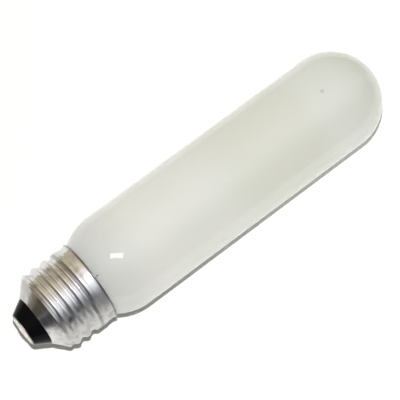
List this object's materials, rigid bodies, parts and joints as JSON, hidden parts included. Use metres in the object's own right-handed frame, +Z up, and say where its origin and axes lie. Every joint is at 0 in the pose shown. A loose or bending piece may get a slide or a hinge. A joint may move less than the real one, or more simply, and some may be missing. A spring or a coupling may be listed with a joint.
{
  "type": "tubular light bulb",
  "caption": "Frosted tubular light bulb with a hemispherical dome, a screw cap with rolled thread and a black glass insulator, lying on its side.",
  "frame": {"origin": "on the bulb's axis, in the plane of the centre contact's outer face", "axes": "+X along the axis from the cap to the dome, +Z up as the bulb lies on its tube"},
  "size_m": [0.1349, 0.0318, 0.0318],
  "materials": {
    "frosted_glass": "frosted inside, glossy outside, nearly opaque",
    "shell_metal": "bright rolled sheet",
    "black_glass": "glossy, opaque",
    "contact_metal": "plated brass, slightly dull",
    "solder": "soft solder, smooth",
    "cement": "baked basing cement, matte",
    "lead_wire": "plated copper wire"
  },
  "bodies": {
    "root": {"glass_bulb": "frosted_glass", "screw_shell": "shell_metal", "insulator": "black_glass", "centre_contact": "contact_metal", "contact_solder": "solder", "cement_ring": "cement", "centre_lead_wire": "lead_wire", "side_lead_wire": "lead_wire", "side_weld": "solder"}
  },
  "joints": []
}
